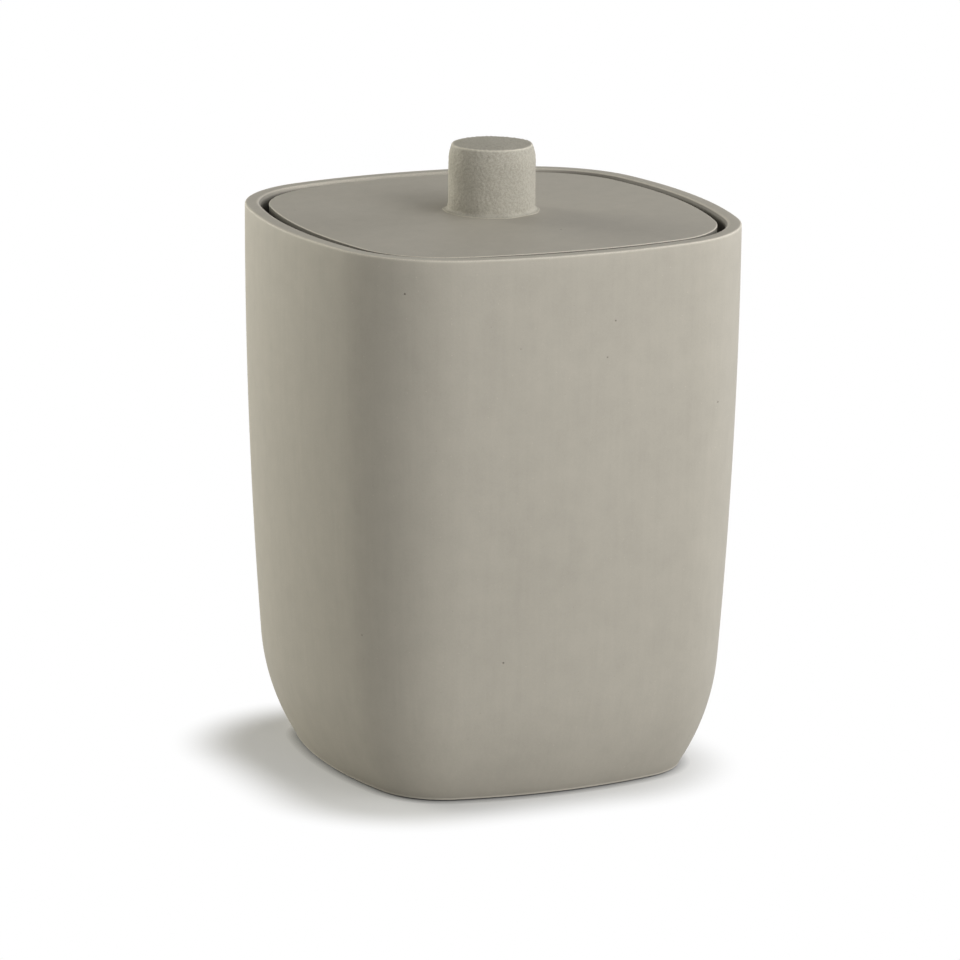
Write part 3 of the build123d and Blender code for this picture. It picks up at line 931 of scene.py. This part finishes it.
def cast_resin(tree, tone, finish, grain, speckle, roughness):
    """Stone resin as it leaves the mould: matt, faintly clouded and streaked upright, with fine
    grain, pits and specks.

    Grain is the height of its fine grain in millimetres, and speckle is how much the grain's tone
    varies. By the mesh's attribute, edges are paler and smoother, patchily, partly as wear and
    partly as a painted highlight, and the gap round the lid is darker with painted shade.
    """
    place = tree.place()
    cloud = tree.noise(place, 45 * MM, detail=3)
    blotch = tree.noise(place, 9 * MM)
    fine = tree.noise(place, 1.1 * MM)
    dust = tree.noise(place, 0.45 * MM)
    run = tree.noise(tree.stretched(place, (1, 1, 0.05)), 2.5 * MM)
    pits = tree.specks(place, spacing=22 * MM, radius=0.55 * MM, share_kept=0.6)
    pale = tree.specks(place, spacing=3.2 * MM, radius=0.35 * MM, share_kept=0.35)
    dark = tree.specks(place, spacing=4.1 * MM, radius=0.3 * MM, share_kept=0.35)
    wear = tree.node("ShaderNodeAttribute", {"attribute_name": "wear"}, output="Fac")
    # painted shade in the gap round the lid, where the attribute is below 0
    painted_gap_shade = wear.maths("MINIMUM", 0.0) * -finish.painted_gap_shade
    # paler edges where the attribute is above 0: partly wear, partly a painted highlight
    rubbed = wear.maths("MAXIMUM", 0.0) * (0.2 + 1.2 * dust + 0.4 * fine) * (0.5 + cloud)
    varied = 0.5 + cloud.swing(1.6 * finish.mottle) + blotch.swing(1.8 * finish.mottle)
    varied = varied + (fine.swing(0.9) + dust.swing(1.3)) * speckle + run.swing(0.35)
    tones = {part: shade(tone, factor) for part, factor in RESIN_TONES.items()}
    base = tree.mix(varied, tones["low"], tones["high"])
    base = tree.mix(pale * 0.35, base, tones["pale"])
    base = tree.mix(dark * 0.3, base, tones["dark"])
    # the pits are darkened: painted shade in them
    base = tree.mix(pits * 0.8, base, tones["pit"])
    base = tree.mix(painted_gap_shade, base, tones["dusty"])
    paler = rubbed.maths("MULTIPLY", finish.wear, clamp=True)
    base = tree.mix(paler, base, tones["rubbed"])
    height = fine * grain + dust * (0.7 * grain) + run * (0.4 * grain) + blotch * (1.5 * grain)
    height = height - pits * 0.25 + pale * (0.6 * grain)
    rough = roughness + fine.swing(0.12) + cloud.swing(0.1) - rubbed * 0.08
    tree.surface(base, rough, tree.bump(height), specular=SPECULAR_OF_RESIN)


def moulded_plastic(tree, tone):
    """Polypropylene with a fine sparked texture, and faint flow lines down its walls."""
    place = tree.place()
    cloud = tree.noise(place, 30 * MM)
    spark = tree.noise(place, 0.55 * MM, detail=3)
    flow = tree.noise(tree.stretched(place, (1, 1, 0.08)), 6 * MM)
    varied = 0.5 + cloud.swing(0.6) + spark.swing(0.7) + flow.swing(0.5)
    base = tree.mix(varied, shade(tone, 0.82), shade(tone, 1.2))
    rough = 0.46 + spark.swing(0.2) + flow.swing(0.08)
    tree.surface(base, rough, tree.bump(spark * 0.05 + flow * 0.03))


def drawn_wire(tree, tone):
    """Stainless wire with fine lines along it, and a few dull rubbed patches."""
    on_wire = tree.node("ShaderNodeAttribute", {"attribute_name": "on_wire"}, output="Vector")
    lines = tree.noise(on_wire, 0.22 * MM, detail=3)
    patch = tree.noise(tree.place(), 14 * MM)
    base = tree.mix(0.5 * lines + 0.5 * patch, shade(tone, 0.85), shade(tone, 1.12))
    rough = 0.2 + lines * 0.14 + patch * 0.12
    tree.surface(base, rough, tree.bump(lines * 0.02), metallic=1.0)


def turned_metal(tree, tone, groove, dull):
    """Metal with fine grooves about the upright axis, and a mottled plated or tumbled surface.

    The grooves are a sine of the distance from the axis plus the height, in steps of groove. Dull
    is the middle of its roughness.
    """
    place = tree.place()
    parts = tree.node("ShaderNodeSeparateXYZ", inputs={"Vector": place})
    x, y = parts.output("X"), parts.output("Y")
    radius = (x * x + y * y).maths("SQRT")
    ring = ((radius + parts.output("Z")) * (2 * pi / groove)).maths("SINE")
    patch = tree.noise(place, 2 * MM, detail=3)
    grit = tree.noise(place, 0.25 * MM)
    base = tree.mix(0.6 * patch + 0.4 * grit, shade(tone, 0.8), shade(tone, 1.12))
    rough = dull + patch.swing(0.2) + grit.swing(0.1)
    height = ring * 0.006 + grit * 0.012
    tree.surface(base, rough, tree.bump(height), metallic=1.0)


def closed_cell_foam(tree, tone, cell):
    """Foam with closed cells of a size, paler and higher where their walls are."""
    cells = tree.node("ShaderNodeTexVoronoi", inputs={"Vector": tree.place(), "Scale": 1 / cell})
    wall = cells.step(0.2, 0.6)
    base = tree.mix(wall, shade(tone, 0.6), shade(tone, 1.3))
    tree.surface(base, 0.92, tree.bump(wall * 0.12))


def finish_of(settings):
    """For each slot of the record, the function that fills its material, and its values."""
    tones = settings.finish
    resin = dict(finish=tones, tone=tones.resin, grain=0.03, speckle=0.33, roughness=0.62)
    knob = dict(finish=tones, tone=tones.knob, grain=0.12, speckle=2.9, roughness=0.68)
    return {
        "cast_resin": (cast_resin, resin),
        "knob_resin": (cast_resin, knob),
        "bucket_plastic": (moulded_plastic, dict(tone=tones.bucket)),
        "bail_wire": (drawn_wire, dict(tone=tones.wire)),
        "plated_steel": (turned_metal, dict(tone=tones.steel, groove=0.3 * MM, dull=0.34)),
        "brass": (turned_metal, dict(tone=tones.brass, groove=0.25 * MM, dull=0.3)),
        "foam_pad": (closed_cell_foam, dict(tone=tones.foam, cell=0.5 * MM)),
    }


def material_for(slot, settings):
    """The material of a slot, made once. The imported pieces' plain ones are named by the slot."""
    name = slot.replace("_", " ").capitalize()
    material = bpy.data.materials.get(name)
    if not material:
        material, tree = new_material(name)
        fill, values = finish_of(settings)[slot]
        fill(tree, **values)
    return material


# Operators


def place_in_frame(piece, body, node, slot, settings):
    """Rides the piece on its body, in place of its node, with its slot's material."""
    piece.data.materials.clear()
    piece.data.materials.append(material_for(slot, settings))
    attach(piece, body)
    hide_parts(node)


def finish_nodes(names, slot, settings):
    """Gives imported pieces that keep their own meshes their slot's material."""
    for name in names:
        for material_slot in frame["nodes"][name].material_slots:
            material_slot.material = material_for(slot, settings)


class BIN_OT_body(Operator):
    """Makes the cast body"""

    bl_idname = "bin.body"
    bl_label = "Cast Body"

    def execute(self, context):
        settings = context.scene.bin_settings
        piece = make_body(settings.form, settings.body)
        place_in_frame(piece, "bin_body", "body", "cast_resin", settings)
        return {"FINISHED"}


class BIN_OT_lid(Operator):
    """Makes the cast lid"""

    bl_idname = "bin.lid"
    bl_label = "Cast Lid"

    def execute(self, context):
        settings = context.scene.bin_settings
        piece = make_lid(settings.form, settings.lid)
        place_in_frame(piece, "lid", "lid", "cast_resin", settings)
        return {"FINISHED"}


class BIN_OT_knob(Operator):
    """Makes the cast knob"""

    bl_idname = "bin.knob"
    bl_label = "Cast Knob"

    def execute(self, context):
        settings = context.scene.bin_settings
        piece = make_knob(settings.knob)
        place_in_frame(piece, "lid", "knob", "knob_resin", settings)
        return {"FINISHED"}


class BIN_OT_bucket(Operator):
    """Makes the moulded bucket"""

    bl_idname = "bin.bucket"
    bl_label = "Moulded Bucket"

    def execute(self, context):
        settings = context.scene.bin_settings
        piece = make_bucket(settings.form, settings.bucket)
        place_in_frame(piece, "bucket", "inner_bucket", "bucket_plastic", settings)
        return {"FINISHED"}


class BIN_OT_bail(Operator):
    """Makes the wire bail"""

    bl_idname = "bin.bail"
    bl_label = "Wire Bail"

    def execute(self, context):
        settings = context.scene.bin_settings
        piece = make_bail(settings.form, settings.bail)
        place_in_frame(piece, "bail", "bail", "bail_wire", settings)
        return {"FINISHED"}


class BIN_OT_fastening(Operator):
    """Finishes the knob's insert, screw and washer"""

    bl_idname = "bin.fastening"
    bl_label = "Knob Fastening"

    def execute(self, context):
        settings = context.scene.bin_settings
        finish_nodes(["knob_screw", "knob_washer"], "plated_steel", settings)
        finish_nodes(["knob_insert"], "brass", settings)
        return {"FINISHED"}


class BIN_OT_pads(Operator):
    """Finishes the foam pads under the base"""

    bl_idname = "bin.pads"
    bl_label = "Foam Pads"

    def execute(self, context):
        pads = [name for name in frame["nodes"] if name.startswith("base_pad")]
        finish_nodes(pads, "foam_pad", context.scene.bin_settings)
        return {"FINISHED"}


# Stage

FLOOR_HALF = 6.0  # half of the floor's side
# The part of the floor that shows the lamps' shading is a rounded oblong, set towards the bin's
# darker side. These are its middle, where its corners are struck from, and the distances from
# there at which the floor's own brightness begins and takes over.
SHADE_MIDDLE = Vector((-17, -3, 0)) * MM
SHADE_CORNER = Vector((40, 35, 0)) * MM
SHADE_FADE = (40 * MM, 77 * MM)
CONTACT_REACH = 5 * MM  # how far the painted shade under the base's edge spreads
CONTACT_SHADE = 0.4  # the floor's tone in that painted shade, as a factor of its colour
BLACK = (0.0, 0.0, 0.0, 1.0)
WHITE = (1.0, 1.0, 1.0, 1.0)
WARM = (1.0, 0.98, 0.89, 1.0)
CAMERA_TARGET = Vector((-3.6, 1.7, 122.4)) * MM
CAMERA_DISTANCE = 2.696
CAMERA_AZIMUTH = radians(-24.86)  # to the right of straight before the large face
CAMERA_ELEVATION = radians(13.59)
CAMERA_ROLL = radians(0.52)
CAMERA_LENS = 229.2  # millimetres, on a sensor 36 mm wide
LAMP_DISTANCE = 1.6
LAMP_WIDTH = 0.9
# Lamps: azimuth and elevation seen from the bin, in degrees, and tint
LAMPS = {
    "key": (-60, 32, WHITE),
    "right": (0, 14, WHITE),
    "face": (-90, 14, WHITE),
    "near": (-150, 14, WARM),
    "left": (124, 14, WARM),
    "high": (-30, 55, WHITE),
}


def direction(azimuth, elevation):
    """The unit vector at an azimuth from +X towards +Y and an elevation."""
    level = cos(elevation)
    return Vector((level * cos(azimuth), level * sin(azimuth), sin(elevation)))


def seen(tree):
    """1 on rays from the camera and on reflected and refracted ones, and 0 on the rest."""
    path = tree.node("ShaderNodeLightPath", output="Is Camera Ray")
    rays = path + path.output("Is Glossy Ray") + path.output("Is Transmission Ray")
    return rays.maths("MINIMUM", 1.0)


def make_floor(stage):
    """A pale floor that shows white round the bin and keeps the bin's shadow.

    Its diffuse colour takes the lamps' light. Where the camera sees it a steady glow is added, and
    close under the base's edge a painted shade darkens both. Beyond the shaded oblong that glow
    takes over at a strength of 1, so that the floor meets the background.
    """
    corners = np.array([(-1, -1, 0), (1, -1, 0), (1, 1, 0), (-1, 1, 0)]) * FLOOR_HALF
    mesh = bpy.data.meshes.new("floor")
    mesh.from_pydata(corners.tolist(), [], [(0, 1, 2, 3)])
    floor = add_object("floor", mesh)
    material, tree = new_material("floor")
    offset = tree.vector("ABSOLUTE", tree.vector("SUBTRACT", tree.place(), SHADE_MIDDLE))
    beyond = tree.vector("MAXIMUM", tree.vector("SUBTRACT", offset, SHADE_CORNER), (0, 0, 0))
    out = tree.vector("LENGTH", beyond, output="Value")
    shown = seen(tree)
    contact = {"Distance": CONTACT_REACH}
    # ambient occlusion paints shade into the floor's colour and glow close under the base
    open_to_light = tree.node("ShaderNodeAmbientOcclusion", {"samples": 8}, contact, "AO")
    plain = stage.floor_colour
    tone = tree.mix(open_to_light, shade(plain, CONTACT_SHADE), shade(plain, 1.0))
    diffuse = tree.node("ShaderNodeBsdfDiffuse", inputs={"Color": tone})
    lit = {"Color": tree.mix(open_to_light, BLACK, WHITE), "Strength": shown * stage.floor_glow}
    glow = tree.node("ShaderNodeEmission", inputs=lit)
    near = tree.node("ShaderNodeAddShader", inputs={0: diffuse, 1: glow})
    far = tree.node("ShaderNodeEmission", inputs={"Strength": 1.0})
    fade = out.step(*SHADE_FADE) * shown
    ground = tree.node("ShaderNodeMixShader", inputs={0: fade, 1: near, 2: far})
    tree.node("ShaderNodeOutputMaterial", inputs={"Surface": ground})
    floor.data.materials.append(material)


def make_lamp(name, azimuth, elevation, tint, watts):
    """A square area lamp aimed at the middle of the bin, not seen by the camera."""
    lamp = bpy.data.lights.new(name, "AREA")
    lamp.energy = watts
    lamp.size = LAMP_WIDTH
    lamp.color = tint[:3]
    holder = add_object(name, lamp)
    towards = direction(radians(azimuth), radians(elevation))
    holder.location = CAMERA_TARGET + towards * LAMP_DISTANCE
    holder.rotation_euler = towards.to_track_quat("Z", "Y").to_euler()
    holder.visible_camera = False


def make_world(stage):
    """White where the camera sees it or a surface reflects it, and the ambient share as a light."""
    world = bpy.context.scene.world or bpy.data.worlds.new("surroundings")
    bpy.context.scene.world = world
    tree = Tree(world)
    shown = seen(tree)
    strength = shown + (1 - shown) * stage.ambient
    light = tree.node("ShaderNodeBackground", inputs={"Strength": strength, "Color": WHITE})
    tree.node("ShaderNodeOutputWorld", inputs={"Surface": light})


def make_camera():
    """The camera, turned from its level pose about its own axis by the photograph's slight roll."""
    azimuth = CAMERA_AZIMUTH - pi / 2
    towards = direction(azimuth, CAMERA_ELEVATION)
    right = Vector((-sin(azimuth), cos(azimuth), 0))
    up = towards.cross(right)
    rolled_right = right * cos(CAMERA_ROLL) + up * sin(CAMERA_ROLL)
    rolled_up = up * cos(CAMERA_ROLL) - right * sin(CAMERA_ROLL)
    data = bpy.data.cameras.new("camera")
    data.lens = CAMERA_LENS
    camera = add_object("camera", data)
    turn = Matrix((rolled_right, rolled_up, towards)).transposed().to_4x4()
    camera.matrix_world = Matrix.Translation(CAMERA_TARGET + towards * CAMERA_DISTANCE) @ turn
    bpy.context.scene.camera = camera


class BIN_OT_stage(Operator):
    """Makes the floor, the lamps, the surroundings and the camera"""

    bl_idname = "bin.stage"
    bl_label = "Stage"

    def execute(self, context):
        stage = context.scene.bin_settings.stage
        make_floor(stage)
        for name, (azimuth, elevation, tint) in LAMPS.items():
            make_lamp(name, azimuth, elevation, tint, getattr(stage, name))
        make_world(stage)
        make_camera()
        context.scene.view_settings.view_transform = "Standard"
        return {"FINISHED"}


class BIN_PT_panel(Panel):
    """Lists the bin's pieces and its stage, with the sizes and colours of each"""

    bl_idname = "BIN_PT_panel"
    bl_label = "Lidded Bin"
    bl_space_type = "VIEW_3D"
    bl_region_type = "UI"
    bl_category = "Bin"

    def draw(self, context):
        settings = context.scene.bin_settings
        for group_name, operators in PANEL_ROWS:
            box = self.layout.box()
            for operator in operators:
                box.operator(operator.bl_idname)
            group = getattr(settings, group_name)
            for name in group.bl_rna.properties.keys():
                if name not in ("rna_type", "name"):
                    box.prop(group, name)


MAKERS = (
    BIN_OT_stage, BIN_OT_body, BIN_OT_lid, BIN_OT_knob, BIN_OT_bucket, BIN_OT_bail,
    BIN_OT_fastening, BIN_OT_pads,
)
PANEL_ROWS = (
    ("form", ()),
    ("body", (BIN_OT_body,)),
    ("lid", (BIN_OT_lid,)),
    ("knob", (BIN_OT_knob,)),
    ("bucket", (BIN_OT_bucket,)),
    ("bail", (BIN_OT_bail,)),
    ("finish", (BIN_OT_fastening, BIN_OT_pads)),
    ("stage", (BIN_OT_stage,)),
)
CLASSES = (
    FormSizes, BodySizes, LidSizes, KnobSizes, BucketSizes, BailSizes, Finishes, StageSettings,
    BinSettings, *MAKERS, BIN_PT_panel,
)


def register():
    for entry in CLASSES:
        bpy.utils.register_class(entry)
    bpy.types.Scene.bin_settings = PointerProperty(type=BinSettings)


def unregister():
    del bpy.types.Scene.bin_settings
    for entry in reversed(CLASSES):
        bpy.utils.unregister_class(entry)


def main():
    """Makes everything."""
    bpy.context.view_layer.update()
    register()
    for maker in MAKERS:
        group, name = maker.bl_idname.split(".")
        getattr(getattr(bpy.ops, group), name)()


if __name__ == "__main__":
    main()
